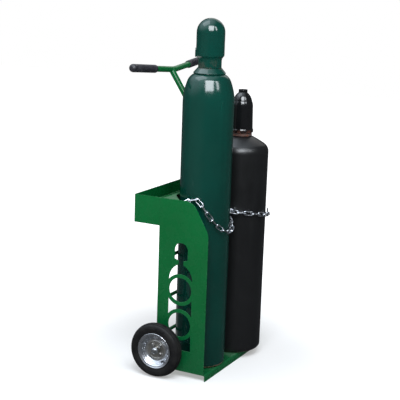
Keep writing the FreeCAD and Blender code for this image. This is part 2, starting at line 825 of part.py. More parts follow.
def stub_axle(side, name):
    """Bolt through the side panel and a doubler, with the spacer, washers and locknut."""
    facing = Rotation(Vector(0, 0, 1), 0 if side > 0 else 180)

    def along_axle(piece, start):
        return place(piece, x=f"{side} * ({start})", y="axle_y", z="tyre_radius", rotation=facing)

    panel_outside = "cart_width / 2"
    panel_inside = "cart_width / 2 - plate"
    washer_seat = "wheel_x + hub_out + axle_gap"
    doubler_inside = f"{panel_inside} - doubler_thick"
    nut_start = f"{doubler_inside} - washer_thick - nut_thick"

    spacer = ring(f"{name}_axle_spacer", "10", "bolt_radius + 0.1",
                  "wheel_x - hub_in - axle_gap - cart_width / 2")
    along_axle(keep(spacer), panel_outside)

    doubler = new_body(f"{name}_axle_doubler")
    outline = new_sketch(doubler, "YZ_Plane")
    add_loop(outline, [("-18", "-30"), ("18", "-30"), ("18", "30"), ("-18", "30")])
    add_circle(outline, "0", "0", "bolt_radius + 0.1")
    pad(doubler, outline, "doubler_thick")
    along_axle(keep(doubler), doubler_inside)

    washers = []
    for number, start in enumerate((washer_seat, f"{doubler_inside} - washer_thick")):
        washer = ring(f"{name}_washer_{number}", "washer_radius", "bolt_radius + 0.1", "washer_thick")
        washers.append(along_axle(washer, start))
    keep(group(f"{name}_axle_washers", washers))

    nut_hex = hexagon(f"{name}_nut", "nut_corner", "nut_thick")
    nut_bore = primitive("Part::Cylinder", f"{name}_nut_bore", Radius="bolt_radius", Height="nut_thick")
    place(nut_bore, rotation=ALONG_X)
    nut = joined("Part::Cut", f"{name}_axle_nut", nut_hex, nut_bore)
    along_axle(keep(nut), nut_start)

    head = hexagon(f"{name}_bolt", "nut_corner", "8", crown="14")
    shank = primitive("Part::Cylinder", f"{name}_shank", Radius="bolt_radius",
                      Height=f"{washer_seat} + washer_thick - ({nut_start}) + 3.5")
    place(shank, x=f"{nut_start} - 3.5 - ({washer_seat} + washer_thick)", rotation=ALONG_X)
    bolt = joined("Part::Fuse", f"{name}_axle_bolt", head, shank)
    along_axle(keep(bolt), f"{washer_seat} + washer_thick")


# ---------------------------------------------------------------- gas cylinders

def oxygen_place(piece, z="deck_top + foot_gap", turn_by=0.0):
    """Stands a piece of the oxygen cylinder on the cylinder's own axis."""
    return place(keep(piece), x="oxygen_x", y="oxygen_y", z=z, rotation=Rotation(Vector(0, 0, 1), turn_by))


def acetylene_place(piece, z="deck_top + foot_gap", turn_by=0.0):
    """Stands a piece of the acetylene cylinder on the cylinder's own axis."""
    return place(keep(piece), x="acetylene_x", y="acetylene_y", z=z,
                 rotation=Rotation(Vector(0, 0, 1), turn_by))


def oxygen_set():
    """Seamless high-pressure cylinder with its neck ring, valve and screwed cap.
    Heights are above the cylinder's foot."""
    shell = new_body("oxygen_cylinder")
    turn(shell, [[
        ("74", "3", "42", "11"),
        ("82", "0", "78", "0.8"),
        ("oxygen_radius", "15", "oxygen_radius - 3", "5"),
        ("oxygen_radius", "975"),
        ("80", "1052", "89.6", "1020"),
        ("56", "1081.5", "69.6", "1071"),
        ("29", "1083"),
        ("29", "1116.5"),
        ("neck_bore", "1116.5"),
        ("neck_bore", "1075"),
        ("76", "1044", "48", "1066"),
        ("oxygen_radius - oxygen_wall", "975", "84.2", "1014"),
        ("oxygen_radius - oxygen_wall", "24"),
        ("6", "20", "50", "17.5"),
        ("0", "20"),
        ("0", "13"),
        ("6", "13"),
    ]])
    oxygen_place(shell)

    collar = new_body("oxygen_neck_ring")
    turn(collar, [[
        ("29.05", "0"), ("57.5", "0"), ("58.5", "3"), ("44", "20"), ("29.05", "20"),
    ]])
    oxygen_place(collar, z="deck_top + foot_gap + 1083")

    valve = new_body("oxygen_valve_body")
    turn(valve, [[
        ("0", "0"),
        ("neck_bore", "0"),
        ("neck_bore", "35"),
        ("20", "35"),
        ("20", "43"),
        ("14", "46"),
        ("14", "96"),
        ("9.5", "99"),
        ("9.5", "103"),
        ("spindle_bore", "103"),
        ("spindle_bore", "90"),
        ("0", "90"),
    ]])
    outlet = new_sketch(valve, "YZ_Plane")
    add_circle(outlet, "0", "76", "11")
    pad(valve, outlet, "32")
    oxygen_place(valve, z="deck_top + foot_gap + 1081.5", turn_by=-63)

    packing = new_body("oxygen_packing_nut")
    turn(packing, [[("spindle_bore", "0"), ("11", "0"), ("11", "6"), ("9", "8"), ("spindle_bore", "8")]])
    oxygen_place(packing, z="deck_top + foot_gap + 1081.5 + 103")

    spindle = primitive("Part::Cylinder", "oxygen_valve_spindle", Radius="spindle_radius", Height="41")
    oxygen_place(spindle, z="deck_top + foot_gap + 1081.5 + 90.5")

    wheel_body = new_body("oxygen_handwheel")
    turn(wheel_body, [[
        ("4.05", "0"), ("9", "0"), ("9", "5"), ("24", "7"), ("27", "4.5"), ("31", "7.5"),
        ("31", "11.5"), ("27", "14"), ("24", "11"), ("9", "11"), ("9", "13"), ("4.05", "13"),
    ]])
    openings = new_sketch(wheel_body, "XY_Plane")
    add_circle(openings, "16.5", "0", "4.6")
    hole = cut_through(wheel_body, openings)
    spokes = wheel_body.newObject("PartDesign::PolarPattern", "oxygen_handwheel_openings")
    spokes.Originals = [hole]
    spokes.Axis = (next(f for f in wheel_body.Origin.OriginFeatures if f.Role == "Z_Axis"), [""])
    spokes.Angle = 360
    spokes.Occurrences = 6
    wheel_body.Tip = spokes
    doc.recompute()
    oxygen_place(wheel_body, z="deck_top + foot_gap + 1081.5 + 118")

    cap = new_body("oxygen_cap")
    turn(cap, [[
        ("42", "0"),
        ("42", "23"),
        ("49.8", "42", "44", "34.5"),
        ("51", "50", "50.8", "45.8"),
        ("51", "124.5"),
        ("3", "175.41", "37.15", "159.44"),
        ("0", "175.41"),
        ("0", "0"),
    ]])
    lug = new_sketch(cap, "XZ_Plane")
    add_loop(lug, [
        ("-7", "44"),
        ("7", "44", "0", "37"),
        ("7", "62"),
        ("-7", "62", "0", "69"),
    ])
    side_lug = pad(cap, lug, "54")
    side_lug.Reversed = True
    doc.recompute()
    bore_out(cap, [
        ("38", "0"),
        ("38", "23"),
        ("46", "44", "40.2", "36"),
        ("47", "52", "46.8", "47"),
        ("47", "124.5"),
        ("3", "171.4", "34.18", "156.76"),
        ("0", "171.4"),
        ("0", "0"),
    ])
    vents = new_sketch(cap, "XZ_Plane")
    add_loop(vents, [("-5", "78"), ("5", "78"), ("5", "96"), ("-5", "96", "0", "101")])
    cut_through(cap, vents)
    oxygen_place(cap, z="deck_top + foot_gap + 1103.5", turn_by=27)


def acetylene_set():
    """Welded acetylene cylinder with its neck ring, valve and screwed cap."""
    shell = new_body("acetylene_cylinder")
    turn(shell, [[
        ("70", "4", "40", "11"),
        ("84", "0.1", "77", "1.1"),
        ("acetylene_radius - 18", "0"),
        ("acetylene_radius", "18", "acetylene_radius - 5.272", "5.272"),
        ("acetylene_radius", "778"),
        ("89", "808", "101.5", "795.2"),
        ("44", "834", "67.5", "821.4"),
        ("30", "837"),
        ("30", "850"),
        ("neck_bore", "850"),
        ("neck_bore", "834"),
        ("40", "831", "26", "833.4"),
        ("85", "804.5", "63.5", "818.3"),
        ("acetylene_radius - acetylene_wall", "776", "97.6", "792"),
        ("acetylene_radius - acetylene_wall", "26"),
        ("6", "22", "50", "18"),
        ("0", "22"),
        ("0", "14"),
        ("6", "14"),
    ]])
    acetylene_place(shell)

    collar = new_body("acetylene_neck_ring")
    turn(collar, [[("30.05", "0"), ("40", "0"), ("40", "11"), ("38", "13"), ("30.05", "13")]])
    acetylene_place(collar, z="deck_top + foot_gap + 837.2")

    valve = new_body("acetylene_valve_body")
    turn(valve, [[
        ("0", "0"),
        ("neck_bore", "0"),
        ("neck_bore", "16"),
        ("18", "16"),
        ("18", "23"),
        ("13", "26"),
        ("13", "78"),
        ("10", "82"),
        ("10", "90"),
        ("spindle_bore", "90"),
        ("spindle_bore", "66"),
        ("0", "66"),
    ]])
    outlet = new_sketch(valve, "YZ_Plane")
    add_circle(outlet, "0", "52", "10")
    pad(valve, outlet, "27")
    acetylene_place(valve, z="deck_top + foot_gap + 834", turn_by=-63)

    spindle = new_body("acetylene_valve_spindle")
    stem = new_sketch(spindle, "XY_Plane")
    add_circle(stem, "0", "0", "spindle_radius")
    pad(spindle, stem, "32")
    square = new_sketch(spindle, "XY_Plane")
    square.AttachmentOffset = Placement(Vector(0, 0, 30), Rotation())
    add_loop(square, [("-5", "-5"), ("5", "-5"), ("5", "5"), ("-5", "5")])
    pad(spindle, square, "13")
    acetylene_place(spindle, z="deck_top + foot_gap + 834 + 66.5")

    cap = new_body("acetylene_cap")
    turn(cap, [[
        ("44.5", "0"),
        ("44.5", "9"),
        ("42.2", "13"),
        ("40", "92"),
        ("35.5", "117", "39.2", "105"),
        ("17", "148", "28.6", "135"),
        ("17", "159"),
        ("0", "159"),
        ("0", "0"),
    ]])
    bore_out(cap, [
        ("40.5", "0"),
        ("38.8", "13"),
        ("36.6", "92"),
        ("32.4", "115", "35.8", "104"),
        ("14", "144", "25.6", "132.5"),
        ("0", "146"),
        ("0", "0"),
    ])
    vents = new_sketch(cap, "XZ_Plane")
    add_loop(vents, [("-5", "40"), ("5", "40"), ("5", "62"), ("-5", "62", "0", "67")])
    cut_through(cap, vents)
    acetylene_place(cap, z="deck_top + foot_gap + 850.6", turn_by=27)


# ---------------------------------------------------------------- the whole cart

side_panel("left_side_panel", "-cart_width / 2")
side_panel("right_side_panel", "cart_width / 2 - plate")
base_plate()
for rung_name in ("lower_rung", "middle_rung", "upper_rung"):
    rung(rung_name, rung_name + "_z")
tool_tray()
cradle_plate()
mast()
keep(handle_shape("handlebar", "tube_radius", "tube_bore"))
grip("left_grip", -1)
grip("right_grip", 1)
chain_parts()
for wheel_side, wheel_name in ((-1, "left"), (1, "right")):
    wheel(wheel_side, wheel_name)
    stub_axle(wheel_side, wheel_name)
oxygen_set()
acetylene_set()
doc.recompute()

for item in doc.Objects:
    assert not {"Invalid", "Error"} & set(item.State), (item.Label, item.State)
os.makedirs("parts", exist_ok=True)
for piece in pieces:
    assert not piece.Shape.isNull() and piece.Shape.isValid(), piece.Label
for piece in pieces:
    piece.Shape.exportStep(os.path.join("parts", piece.Label + ".step"))
print(len(pieces), "sub-parts written")
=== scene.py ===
import json
import math

import bmesh
import bpy
from mathutils import Matrix, Vector, noise


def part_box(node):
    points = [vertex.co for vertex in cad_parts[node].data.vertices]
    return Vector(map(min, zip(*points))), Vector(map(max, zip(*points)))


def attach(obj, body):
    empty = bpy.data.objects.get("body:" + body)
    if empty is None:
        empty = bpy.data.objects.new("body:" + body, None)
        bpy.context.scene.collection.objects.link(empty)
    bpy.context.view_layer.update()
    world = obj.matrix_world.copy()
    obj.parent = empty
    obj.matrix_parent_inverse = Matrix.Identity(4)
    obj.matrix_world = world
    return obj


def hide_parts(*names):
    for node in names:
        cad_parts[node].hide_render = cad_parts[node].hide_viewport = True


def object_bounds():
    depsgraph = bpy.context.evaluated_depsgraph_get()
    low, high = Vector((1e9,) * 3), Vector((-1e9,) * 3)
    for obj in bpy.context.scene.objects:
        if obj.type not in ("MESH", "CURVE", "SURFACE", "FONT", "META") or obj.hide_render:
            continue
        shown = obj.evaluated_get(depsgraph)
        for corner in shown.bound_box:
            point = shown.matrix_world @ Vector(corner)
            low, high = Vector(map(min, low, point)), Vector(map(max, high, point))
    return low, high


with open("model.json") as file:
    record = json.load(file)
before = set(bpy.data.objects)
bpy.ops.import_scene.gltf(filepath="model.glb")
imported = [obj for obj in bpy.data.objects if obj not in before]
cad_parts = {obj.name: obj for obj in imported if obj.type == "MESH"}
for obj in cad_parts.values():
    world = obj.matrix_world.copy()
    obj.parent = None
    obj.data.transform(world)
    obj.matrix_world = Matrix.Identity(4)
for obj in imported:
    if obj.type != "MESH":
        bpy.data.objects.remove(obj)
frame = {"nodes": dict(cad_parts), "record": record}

MM = 0.001
cad_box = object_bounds()


# ---------------------------------------------------------------- material nodes

class Nodes:
    """One material's nodes. Each method adds a node and returns its output socket."""

    def __init__(self, name):
        self.material = bpy.data.materials.new(name)
        self.material.use_nodes = True
        self.tree = self.material.node_tree
        self.shader = self.tree.nodes["Principled BSDF"]
        self.place = self.tree.nodes.new("ShaderNodeTexCoord").outputs["Object"]

    def add(self, kind, settings=None, inputs=None):
        node = self.tree.nodes.new("ShaderNode" + kind)
        for key, value in (settings or {}).items():
            setattr(node, key, value)
        for key, value in (inputs or {}).items():
            self.plug(node.inputs[key], value)
        return node

    def plug(self, socket, value):
        if isinstance(value, bpy.types.NodeSocket):
            self.tree.links.new(value, socket)
        else:
            socket.default_value = value

    def stretched(self, scale):
        """Object coordinates scaled by axis, for streaks and grain."""
        return self.add("Mapping", None, {"Vector": self.place, "Scale": scale}).outputs["Vector"]

    def noise(self, scale, detail=3.0, rough=0.55, stretch=None):
        vector = self.stretched(stretch) if stretch else self.place
        node = self.add("TexNoise", None, {
            "Vector": vector, "Scale": scale, "Detail": detail, "Roughness": rough})
        return node.outputs["Fac"]

    def cells(self, scale):
        return self.add("TexVoronoi", None, {"Vector": self.place, "Scale": scale}).outputs["Distance"]

    def span(self, value, low, high, to_low=0.0, to_high=1.0):
        """Smooth step of a value from low..high to to_low..to_high."""
        node = self.add("MapRange", {"interpolation_type": "SMOOTHSTEP"}, {
            "Value": value, "From Min": low, "From Max": high, "To Min": to_low, "To Max": to_high})
        return node.outputs["Result"]

    def math(self, operation, a, b=0.0):
        node = self.add("Math", {"operation": operation, "use_clamp": False}, {0: a, 1: b})
        return node.outputs[0]

    def mix(self, factor, a, b):
        node = self.add("Mix", {"data_type": "RGBA"})
        self.plug(node.inputs[0], factor)
        self.plug(node.inputs[6], a)
        self.plug(node.inputs[7], b)
        return node.outputs[2]

    def axis(self, name, source=None):
        """One coordinate of the object's place, or of another vector."""
        return self.add("SeparateXYZ", None, {0: source or self.place}).outputs[name]

    def facing_up(self):
        normal = self.add("NewGeometry").outputs["Normal"]
        return self.axis("Z", normal)

    def edges(self, radius):
        """1 on a sharp edge and 0 away from it."""
        rounded = self.add("Bevel", {"samples": 4}, {"Radius": radius}).outputs["Normal"]
        true = self.add("NewGeometry").outputs["True Normal"]
        likeness = self.add("VectorMath", {"operation": "DOT_PRODUCT"}, {0: rounded, 1: true})
        return self.span(likeness.outputs["Value"], 0.995, 0.86)

    def rounded(self, radius):
        """A normal that runs smoothly over edges, as a small real radius does."""
        return self.add("Bevel", {"samples": 6}, {"Radius": radius}).outputs["Normal"]

    def radius_from(self, node_name):
        """Distance from the X axis line through the middle of a node."""
        low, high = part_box(node_name)
        y = self.math("SUBTRACT", self.axis("Y"), (low.y + high.y) / 2)
        z = self.math("SUBTRACT", self.axis("Z"), (low.z + high.z) / 2)
        return self.math("SQRT", self.math("ADD", self.math("MULTIPLY", y, y), self.math("MULTIPLY", z, z)))

    def bump(self, height, strength, distance, below=None):
        """A bumped normal, on top of another one if that is given."""
        inputs = {"Height": height, "Strength": strength, "Distance": distance}
        if below is not None:
            inputs["Normal"] = below
        return self.add("Bump", None, inputs).outputs["Normal"]

    def finish(self, colour=None, roughness=None, normal=None, constants=None):
        for name, value in (("Base Color", colour), ("Roughness", roughness), ("Normal", normal)):
            if value is not None:
                self.plug(self.shader.inputs[name], value)
        for name, value in (constants or {}).items():
            self.shader.inputs[name].default_value = value
        return self.material


def rgb(r, g, b):
    return (r, g, b, 1.0)


def powder_coat():
    """Bright green powder coat: painted shade low down mixed with grime, dust on upward faces, and rubbed
    edges lightened partly as wear and partly as a painted edge highlight.
    """
    n = Nodes("green_powder_coat")
    broad = n.noise(5.0, 3.0)
    colour = n.mix(n.span(broad, 0.3, 0.7), rgb(0.0008, 0.075, 0.0175), rgb(0.0011, 0.084, 0.0205))
    # Painted shade: towards the bottom the coat is mixed to a duller, greyer green that stands in for the
    # shade low down, together with grime.
    low = n.span(n.axis("Z"), 0.30, 0.02)
    colour = n.mix(n.math("MULTIPLY", low, 0.45), colour, rgb(0.006, 0.082, 0.030))
    smudge = n.math("MULTIPLY", n.span(n.noise(22.0, 5.0, 0.62), 0.58, 0.76), 0.07)
    colour = n.mix(smudge, colour, rgb(0.010, 0.105, 0.044))
    scratch = n.span(n.noise(90.0, 2.0, 0.5, (1.0, 0.16, 5.0)), 0.730, 0.755)
    colour = n.mix(n.math("MULTIPLY", scratch, 0.18), colour, rgb(0.040, 0.170, 0.080))
    # Sharp edges are lightened to a paler green in patches: partly rubbed wear, partly a painted edge
    # highlight.
    edge_wear_and_highlight = n.math("MULTIPLY", n.edges(0.0012), n.span(n.noise(60.0, 4.0), 0.46, 0.66))
    colour = n.mix(n.math("MULTIPLY", edge_wear_and_highlight, 0.65), colour, rgb(0.110, 0.280, 0.160))
    dust = n.math("MULTIPLY", n.span(n.facing_up(), 0.6, 1.0), n.span(n.noise(14.0, 5.0), 0.36, 0.72))
    colour = n.mix(n.math("MULTIPLY", dust, 0.16), colour, rgb(0.330, 0.400, 0.330))
    rough = n.span(n.noise(34.0, 5.0), 0.3, 0.75, 0.22, 0.34)
    peel = n.bump(n.noise(620.0, 2.0), 0.14, 0.0005, n.rounded(0.0009))
    peel = n.bump(n.noise(30.0, 2.0), 0.04, 0.0012, peel)
    return n.finish(colour, rough, peel, {"Specular IOR Level": 0.24})


def bottle_enamel(name, deep, pale, foot, cap_base, rust_height, rust_amount, body_rough):
    """Enamel over steel: faint streaks and scuffs, a bare foot, rust low on the cap and above
    its seat. The body may be duller than the cap."""
    n = Nodes(name)
    height = n.axis("Z")
    broad = n.noise(4.0, 4.0, 0.6, (1.0, 1.0, 0.45))
    colour = n.mix(n.span(broad, 0.28, 0.72), deep, pale)
    streak = n.span(n.noise(42.0, 3.0, 0.5, (1.0, 1.0, 0.05)), 0.50, 0.78)
    colour = n.mix(n.math("MULTIPLY", streak, 0.20), colour, rgb(*[c * 2.0 for c in pale[:3]]))
    scuff = n.span(n.noise(120.0, 3.0, 0.6, (1.0, 1.0, 0.30)), 0.72, 0.77)
    colour = n.mix(n.math("MULTIPLY", scuff, 0.30), colour, rgb(0.060, 0.078, 0.072))
    ragged = n.noise(55.0, 5.0, 0.65)
    bare_line = n.math("ADD", height, n.math("MULTIPLY", ragged, -0.008))
    bare = n.span(bare_line, foot + 0.0060, foot + 0.0015)
    steel = n.mix(n.span(n.noise(160.0, 4.0), 0.35, 0.65), rgb(0.230, 0.165, 0.110), rgb(0.110, 0.062, 0.036))
    colour = n.mix(n.math("MULTIPLY", bare, 0.85), colour, steel)
    skirt = n.math("MULTIPLY", n.span(height, cap_base - 0.006, cap_base),
                   n.span(height, cap_base + rust_height, cap_base))
    rust = n.math("MULTIPLY", skirt, n.span(n.noise(36.0, 5.0, 0.7), 0.44, 0.60))
    colour = n.mix(n.math("MULTIPLY", rust, rust_amount), colour, rgb(0.085, 0.026, 0.014))
    rough = n.math("ADD", n.span(n.noise(16.0, 5.0), 0.3, 0.7, 0.0, 0.06), n.math("MULTIPLY", rust, 0.35))
    rough = n.math("ADD", rough, n.span(height, cap_base - 0.004, cap_base, body_rough, 0.11))
    rough = n.math("ADD", rough, n.math("MULTIPLY", bare, 0.30))
    surface = n.bump(n.noise(20.0, 3.0, 0.5, (1.0, 1.0, 0.5)), 0.14, 0.0020, n.rounded(0.0012))
    surface = n.bump(n.noise(420.0, 3.0), 0.05, 0.0003, surface)
    return n.finish(colour, rough, surface, {"IOR": 1.54, "Specular IOR Level": 0.54})


def tyre_rubber():
    """Black rubber, greyed by dust in patches and along the tread."""
    n = Nodes("tyre_rubber")
    patches = n.span(n.noise(26.0, 5.0, 0.62), 0.35, 0.72)
    colour = n.mix(patches, rgb(0.0040, 0.0040, 0.0046), rgb(0.0100, 0.0095, 0.0092))
    dust = n.span(n.noise(70.0, 6.0, 0.7), 0.56, 0.80)
    colour = n.mix(n.math("MULTIPLY", dust, 0.20), colour, rgb(0.050, 0.045, 0.040))
    rough = n.span(n.noise(40.0, 4.0), 0.3, 0.7, 0.50, 0.70)
    grain = n.bump(n.noise(900.0, 3.0), 0.35, 0.0004)
    return n.finish(colour, rough, grain, {"Specular IOR Level": 0.24})


def grip_rubber():
    """Blue-black moulded rubber with a fine grain, polished by hands."""
    n = Nodes("grip_rubber")
    colour = n.mix(n.span(n.noise(45.0, 4.0), 0.35, 0.7), rgb(0.009, 0.009, 0.012), rgb(0.019, 0.019, 0.024))
    dust = n.span(n.noise(170.0, 5.0, 0.7), 0.60, 0.78)
    colour = n.mix(n.math("MULTIPLY", dust, 0.30), colour, rgb(0.095, 0.092, 0.095))
    rough = n.span(n.noise(30.0, 3.0), 0.3, 0.7, 0.34, 0.52)
    grain = n.bump(n.noise(1100.0, 2.0), 0.25, 0.0003)
    return n.finish(colour, rough, grain)


def plated(name, bright, dull, smooth, coarse, tarnish):
    """Zinc or chrome over steel: crystalline patches, faint tarnish and fine scratches."""
    n = Nodes(name)
    patch = n.span(n.cells(210.0), 0.15, 0.75)
    colour = n.mix(patch, bright, dull)
    stain = n.math("MULTIPLY", n.span(n.noise(65.0, 5.0, 0.65), 0.50, 0.74), 0.55)
    colour = n.mix(stain, colour, tarnish)
    rough = n.span(n.noise(55.0, 5.0), 0.3, 0.7, smooth, coarse)
    rough = n.math("ADD", rough, n.math("MULTIPLY", stain, 0.18))
    mark = n.bump(n.noise(700.0, 3.0), 0.12, 0.0003)
    return n.finish(colour, rough, mark, {"Metallic": 1.0})


def pressed_rim():
    """Bright plated rim with a brownish bloom on the flat disc about the hub."""
    n = Nodes("plated_rim")
    radius = n.radius_from("left_hub")
    bloom = n.span(n.math("ADD", radius, n.math("MULTIPLY", n.noise(60.0, 5.0), 0.012)), 0.050, 0.038)
    colour = n.mix(n.span(n.noise(45.0, 4.0), 0.3, 0.7), rgb(0.80, 0.83, 0.90), rgb(0.92, 0.94, 0.98))
    colour = n.mix(n.math("MULTIPLY", bloom, 0.75), colour, rgb(0.390, 0.360, 0.300))
    freckle = n.span(n.noise(240.0, 5.0, 0.7), 0.62, 0.74)
    colour = n.mix(n.math("MULTIPLY", freckle, 0.35), colour, rgb(0.180, 0.130, 0.090))
    rough = n.math("ADD", n.span(n.noise(70.0, 4.0), 0.3, 0.7, 0.24, 0.34), n.math("MULTIPLY", bloom, 0.12))
    spun = n.math("SINE", n.math("MULTIPLY", radius, 5200.0))
    surface = n.bump(spun, 0.10, 0.0002)
    surface = n.bump(n.noise(90.0, 3.0), 0.16, 0.0010, surface)
    return n.finish(colour, rough, surface, {"Metallic": 1.0})


def metal(name, light, dark, smooth, coarse, grain):
    """Turned or cast metal with a fine grain and darker hollows."""
    n = Nodes(name)
    colour = n.mix(n.span(n.noise(80.0, 5.0), 0.32, 0.70), light, dark)
    rough = n.span(n.noise(120.0, 4.0), 0.3, 0.7, smooth, coarse)
    surface = n.bump(n.noise(grain, 3.0), 0.20, 0.0003)
    return n.finish(colour, rough, surface, {"Metallic": 1.0})


def rusty_steel():
    """Unpainted neck steel under a thin brown rust."""
    n = Nodes("rusty_steel")
    rust = n.span(n.noise(90.0, 6.0, 0.7), 0.34, 0.62)
    colour = n.mix(rust, rgb(0.085, 0.080, 0.078), rgb(0.105, 0.036, 0.020))
    rough = n.span(rust, 0.0, 1.0, 0.45, 0.80)
    return n.finish(colour, rough, n.bump(n.noise(380.0, 5.0), 0.45, 0.0006), {"Metallic": 0.3})


oxygen_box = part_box("oxygen_cylinder")
oxygen_cap_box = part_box("oxygen_cap")
acetylene_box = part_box("acetylene_cylinder")
acetylene_cap_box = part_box("acetylene_cap")

MATERIALS = {
    "frame_paint": powder_coat(),
    "grip_rubber": grip_rubber(),
    "zinc_steel": plated("bright_zinc", rgb(0.90, 0.92, 0.96), rgb(0.70, 0.73, 0.78), 0.22, 0.38,
                         rgb(0.46, 0.44, 0.42)),
    "tyre_rubber": tyre_rubber(),
    "tube_rubber": grip_rubber(),
    "rim_zinc": pressed_rim(),
    "bronze": metal("sintered_bronze", rgb(0.50, 0.30, 0.13), rgb(0.26, 0.15, 0.07), 0.35, 0.55, 900.0),
    "fastener_zinc": plated("fastener_zinc", rgb(0.70, 0.72, 0.74), rgb(0.42, 0.43, 0.44), 0.22, 0.40,
                            rgb(0.24, 0.19, 0.14)),
    "oxygen_paint": bottle_enamel(
        "oxygen_enamel", rgb(0.0005, 0.0192, 0.0140), rgb(0.0010, 0.0285, 0.0205),
        oxygen_box[0].z, oxygen_cap_box[0].z, 0.045, 0.20, 0.13),
    "brass": metal("valve_brass", rgb(0.72, 0.50, 0.20), rgb(0.40, 0.26, 0.10), 0.24, 0.42, 600.0),
    "spindle_steel": metal("turned_steel", rgb(0.58, 0.59, 0.60), rgb(0.36, 0.36, 0.37), 0.22, 0.36, 800.0),
    "handwheel_aluminium": metal(
        "cast_aluminium", rgb(0.66, 0.67, 0.69), rgb(0.44, 0.45, 0.47), 0.34, 0.52, 500.0),
    "acetylene_paint": bottle_enamel(
        "acetylene_enamel", rgb(0.0026, 0.0028, 0.0030), rgb(0.0052, 0.0054, 0.0058),
        acetylene_box[0].z - 0.004, acetylene_cap_box[0].z, 0.014, 0.70, 0.34),
    "acetylene_neck_steel": rusty_steel(),
}
SLOT_OF = {row["node"]: row["material_slot"] for row in frame["record"]["subparts"]}


def dress(obj, slot):
    """Gives a piece the finish of one of the record's slots."""
    obj.data.materials.clear()
    obj.data.materials.append(MATERIALS[slot])


for node_name, node in frame["nodes"].items():
    dress(node, SLOT_OF[node_name])


# ---------------------------------------------------------------- mesh helpers

def new_piece(name, bm, slot, body, sharp_above=35.0):
    """Turns a bmesh into a smooth piece that rides on a body."""
    bmesh.ops.recalc_face_normals(bm, faces=bm.faces)
    mesh = bpy.data.meshes.new(name)
    for edge in bm.edges:
        if len(edge.link_faces) == 2:
            edge.smooth = edge.calc_face_angle() < math.radians(sharp_above)
    for face in bm.faces:
        face.smooth = True
    bm.to_mesh(mesh)
    bm.free()
    obj = bpy.data.objects.new(name, mesh)
    bpy.context.scene.collection.objects.link(obj)
    dress(obj, slot)
    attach(obj, body)
    return obj


def join_rings(bm, rings, closed):
    """Quads between neighbouring rings of vertices, and back to the first if closed."""
    pairs = list(zip(rings, rings[1:])) + ([(rings[-1], rings[0])] if closed else [])
    for ring_a, ring_b in pairs:
        for i in range(len(ring_a)):
            j = (i + 1) % len(ring_a)
            bm.faces.new((ring_a[i], ring_a[j], ring_b[j], ring_b[i]))


def weld_bead(bm, centres, outward, radius, pitch=4.5 * MM):
    """A rippled fillet along a line of points. outward gives the bead's crown at a point."""
    sections = 8
    rings = []
    travelled = 0.0
    closed = (centres[0] - centres[-1]).length < 1e-6
    path = centres[:-1] if closed else centres
    count = len(path)
    for i, point in enumerate(path):
        ahead = path[(i + 1) % count] if closed or i + 1 < count else point
        behind = path[i - 1] if closed or i else point
        along = (ahead - behind).normalized()
        crown = (outward(point) - along * outward(point).dot(along)).normalized()
        across = along.cross(crown)
        if i:
            travelled += (point - path[i - 1]).length
        wave = travelled / pitch
        swell = 0.84 + 0.16 * abs(math.sin(math.pi * wave))
        swell *= 0.95 + 0.12 * noise.noise(point * 160.0)
        taper = 1.0 if closed else min(1.0, 0.35 + 0.65 * min(i, count - 1 - i) / 3.0)
        ring = []
        for k in range(sections):
            turn = 2 * math.pi * k / sections
            lag = along * radius * 0.35 * math.cos(turn)
            offset = (crown * math.cos(turn) * 0.8 + across * math.sin(turn)) * radius * swell * taper
            ring.append(bm.verts.new(point + offset + lag))
        rings.append(ring)
    join_rings(bm, rings, closed)
    if not closed:
        bm.faces.new(rings[0])
        bm.faces.new(list(reversed(rings[-1])))


def line(start, end, step=1.1 * MM):
    count = max(4, int((end - start).length / step))
    return [start.lerp(end, i / count) for i in range(count + 1)]


def circle(centre, first, second, radius, step=1.1 * MM):
    count = max(24, int(2 * math.pi * radius / step))
    turns = [2 * math.pi * i / count for i in range(count)]
    points = [centre + (first * math.cos(t) + second * math.sin(t)) * radius for t in turns]
    return points + [points[0].copy()]


X, Y, Z = Vector((1, 0, 0)), Vector((0, 1, 0)), Vector((0, 0, 1))


# ---------------------------------------------------------------- weld beads

def rung_welds():
    """Fillets where each rung's ends meet the side panels."""
    bm = bmesh.new()
    for name in ("lower_rung", "middle_rung", "upper_rung"):
        low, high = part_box(name)
        middle = (low + high) / 2
        radius = (high.z - low.z) / 2
        for side, end in ((1, low.x), (-1, high.x)):
            centre = Vector((end + side * 1.0 * MM, middle.y, middle.z))
            weld_bead(bm, circle(centre, Y, Z, radius + 0.4 * MM),
                      lambda p, c=centre, s=side: (p - c).normalized() + X * s, 1.7 * MM)
    new_piece("rung_welds", bm, "frame_paint", "cart")


def mast_welds():
    """Fillets round the mast on the floor plate and on the cradle, and tacks on the rungs."""
    bm = bmesh.new()
    mast_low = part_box("mast")[0]
    rung_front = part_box("lower_rung")[0].y
    radius = -mast_low.x
    axis_y = mast_low.y + radius
    for height in (mast_low.z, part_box("cradle_plate")[1].z):
        centre = Vector((0, axis_y, height + 0.8 * MM))
        weld_bead(bm, circle(centre, X, Y, radius + 0.5 * MM),
                  lambda p, c=centre: (p - c).normalized() + Z, 2.0 * MM)
    for name in ("lower_rung", "middle_rung", "upper_rung"):
        low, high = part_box(name)
        for side in (-1, 1):
            for height, lift in ((low.z, -1), (high.z, 1)):
                start = Vector((side * 1.5 * MM, rung_front + 1.2 * MM, height + lift * 0.4 * MM))
                weld_bead(bm, line(start, start + X * side * 7 * MM),
                          lambda p, s=lift: Z * s - Y, 1.5 * MM)
    new_piece("mast_welds", bm, "frame_paint", "cart")


